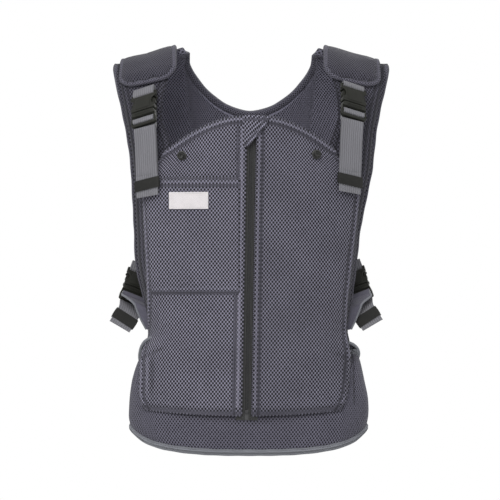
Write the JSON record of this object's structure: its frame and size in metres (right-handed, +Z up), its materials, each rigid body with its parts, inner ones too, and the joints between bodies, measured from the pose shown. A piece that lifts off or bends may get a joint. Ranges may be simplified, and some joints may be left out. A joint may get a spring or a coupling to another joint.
{
  "type": "soft baby carrier",
  "caption": "Vest-shaped soft baby carrier in dark air mesh, with a padded back, shoulder straps, a zipped front overlay, a waist belt and side-release buckles on adjustable webbing.",
  "frame": {"origin": "midway between the two shoulders that carry the vest, at the height where the straps rest on them", "axes": "+X to the right of someone looking at the front, +Y from the front panels towards the back panel, +Z up"},
  "size_m": [0.369, 0.1992, 0.5381],
  "materials": {
    "front_mesh": "matte open air mesh",
    "lining_mesh": "matte air mesh",
    "strap_mesh": "matte air mesh",
    "mesh_binding": "matte folded fabric",
    "grey_binding": "matte woven binding",
    "wing_cloth": "smooth matte cloth",
    "foam": "thick 3D spacer mesh padding",
    "label_cloth": "woven satin label, blank",
    "zipper_tape": "ribbed tape",
    "zipper_metal": "black satin",
    "webbing": "ribbed polypropylene webbing",
    "elastic": "ribbed elastic",
    "buckle_plastic": "satin black acetal",
    "snap_plastic": "satin black"
  },
  "bodies": {
    "vest": {"back_cover": "front_mesh", "back_foam": "foam", "back_lining": "lining_mesh", "strap_cover_left": "strap_mesh", "strap_cover_right": "strap_mesh", "strap_foam_left": "foam", "strap_foam_right": "foam", "front_panel_left": "front_mesh", "front_panel_right": "front_mesh", "pocket_panel": "front_mesh", "label": "label_cloth", "zip_tape_left": "zipper_tape", "zip_tape_right": "zipper_tape", "zip_coils": "zipper_tape", "zip_stops": "zipper_metal", "belt_cover": "front_mesh", "belt_foam": "foam", "belt_lining": "lining_mesh", "hem_binding": "grey_binding", "neck_binding": "mesh_binding", "armhole_bindings": "mesh_binding", "side_bindings": "grey_binding", "pad_cover_left": "strap_mesh", "pad_cover_right": "strap_mesh", "pad_foam_left": "foam", "pad_foam_right": "foam", "snap_sockets": "snap_plastic", "shoulder_loops": "webbing", "side_loops": "webbing", "socket_shoulder_left": "buckle_plastic", "socket_shoulder_right": "buckle_plastic", "socket_side_left": "buckle_plastic", "socket_side_right": "buckle_plastic", "anchor_shoulder_left": "webbing", "anchor_shoulder_right": "webbing", "side_wing_left": "wing_cloth", "side_wing_right": "wing_cloth"},
    "plug_shoulder_left": {"plug_shoulder_left": "buckle_plastic", "tail_shoulder_left": "webbing", "keeper_shoulder_left": "elastic"},
    "arm_shoulder_left_a": {"arm_shoulder_left_a": "buckle_plastic"},
    "arm_shoulder_left_b": {"arm_shoulder_left_b": "buckle_plastic"},
    "plug_shoulder_right": {"plug_shoulder_right": "buckle_plastic", "tail_shoulder_right": "webbing", "keeper_shoulder_right": "elastic"},
    "arm_shoulder_right_a": {"arm_shoulder_right_a": "buckle_plastic"},
    "arm_shoulder_right_b": {"arm_shoulder_right_b": "buckle_plastic"},
    "plug_side_left": {"plug_side_left": "buckle_plastic", "tail_side_left": "webbing", "keeper_side_left": "elastic"},
    "arm_side_left_a": {"arm_side_left_a": "buckle_plastic"},
    "arm_side_left_b": {"arm_side_left_b": "buckle_plastic"},
    "plug_side_right": {"plug_side_right": "buckle_plastic", "tail_side_right": "webbing", "keeper_side_right": "elastic"},
    "arm_side_right_a": {"arm_side_right_a": "buckle_plastic"},
    "arm_side_right_b": {"arm_side_right_b": "buckle_plastic"},
    "zip_garage": {"zip_garage": "front_mesh"},
    "zip_slider": {"zip_slider": "zipper_metal"},
    "zip_pull": {"zip_pull": "zipper_metal"}
  },
  "joints": [
    {"name": "release_shoulder_left", "type": "slide", "parent": "vest", "child": "plug_shoulder_left", "axis": [0, -0.5739, -0.8189], "range_m": [0, 0.032], "deforming": ["anchor_shoulder_left", "arm_shoulder_left_a", "arm_shoulder_left_b"]},
    {"name": "press_shoulder_left_a", "type": "hinge", "parent": "plug_shoulder_left", "child": "arm_shoulder_left_a", "pos_m": [-0.14638, -0.071, -0.0615], "axis": [0.4718, 0.722, -0.506], "range_deg": [0, 8], "stiffness_Nm_per_rad": 0.02},
    {"name": "press_shoulder_left_b", "type": "hinge", "parent": "plug_shoulder_left", "child": "arm_shoulder_left_b", "pos_m": [-0.12962, -0.07834, -0.05636], "axis": [-0.4718, -0.722, 0.506], "range_deg": [0, 8], "stiffness_Nm_per_rad": 0.02},
    {"name": "release_shoulder_right", "type": "slide", "parent": "vest", "child": "plug_shoulder_right", "axis": [0, -0.5739, -0.8189], "range_m": [0, 0.032], "deforming": ["anchor_shoulder_right", "arm_shoulder_right_a", "arm_shoulder_right_b"]},
    {"name": "press_shoulder_right_a", "type": "hinge", "parent": "plug_shoulder_right", "child": "arm_shoulder_right_a", "pos_m": [0.12612, -0.07834, -0.04736], "axis": [-0.4718, 0.722, -0.506], "range_deg": [0, 8], "stiffness_Nm_per_rad": 0.02},
    {"name": "press_shoulder_right_b", "type": "hinge", "parent": "plug_shoulder_right", "child": "arm_shoulder_right_b", "pos_m": [0.14288, -0.071, -0.0525], "axis": [0.4718, -0.722, 0.506], "range_deg": [0, 8], "stiffness_Nm_per_rad": 0.02},
    {"name": "release_side_left", "type": "slide", "parent": "vest", "child": "plug_side_left", "axis": [-0.2359, -0.5799, -0.7798], "range_m": [0, 0.032], "deforming": ["side_wing_left", "arm_side_left_a", "arm_side_left_b"]},
    {"name": "press_side_left_a", "type": "hinge", "parent": "plug_side_left", "child": "arm_side_left_a", "pos_m": [-0.15937, -0.00936, -0.28734], "axis": [-0.3057, 0.806, -0.5069], "range_deg": [0, 8], "stiffness_Nm_per_rad": 0.02},
    {"name": "press_side_left_b", "type": "hinge", "parent": "plug_side_left", "child": "arm_side_left_b", "pos_m": [-0.14184, -0.00711, -0.29433], "axis": [0.3057, -0.806, 0.5069], "range_deg": [0, 8], "stiffness_Nm_per_rad": 0.02},
    {"name": "release_side_right", "type": "slide", "parent": "vest", "child": "plug_side_right", "axis": [0.2359, -0.5799, -0.7798], "range_m": [0, 0.032], "deforming": ["side_wing_right", "arm_side_right_a", "arm_side_right_b"]},
    {"name": "press_side_right_a", "type": "hinge", "parent": "plug_side_right", "child": "arm_side_right_a", "pos_m": [0.13184, -0.00711, -0.29233], "axis": [0.3057, 0.806, -0.5069], "range_deg": [0, 8], "stiffness_Nm_per_rad": 0.02},
    {"name": "press_side_right_b", "type": "hinge", "parent": "plug_side_right", "child": "arm_side_right_b", "pos_m": [0.14937, -0.00936, -0.28534], "axis": [-0.3057, -0.806, 0.5069], "range_deg": [0, 8], "stiffness_Nm_per_rad": 0.02},
    {"name": "garage_lift", "type": "hinge", "parent": "vest", "child": "zip_garage", "pos_m": [-0.00929, -0.0915, -0.08563], "axis": [-0.0171, -0.0357, -0.9992], "range_deg": [0, 140], "stiffness_Nm_per_rad": 0.002},
    {"name": "zip_slide", "type": "slide", "parent": "vest", "child": "zip_slider", "axis": [-0.0171, -0.0357, -0.9992], "range_m": [0, 0.364], "deforming": ["zip_coils"]},
    {"name": "pull_lift", "type": "hinge", "parent": "zip_slider", "child": "zip_pull", "pos_m": [0.0022, -0.08951, -0.07188], "axis": [-0.9999, 0.0006, 0.0171], "range_deg": [0, 150], "deforming": ["zip_garage"]}
  ],
  "couplings": [
    {"joint": "press_shoulder_left_b", "follows": "press_shoulder_left_a", "ratio": 1},
    {"joint": "press_shoulder_right_b", "follows": "press_shoulder_right_a", "ratio": 1},
    {"joint": "press_side_left_b", "follows": "press_side_left_a", "ratio": 1},
    {"joint": "press_side_right_b", "follows": "press_side_right_a", "ratio": 1}
  ]
}
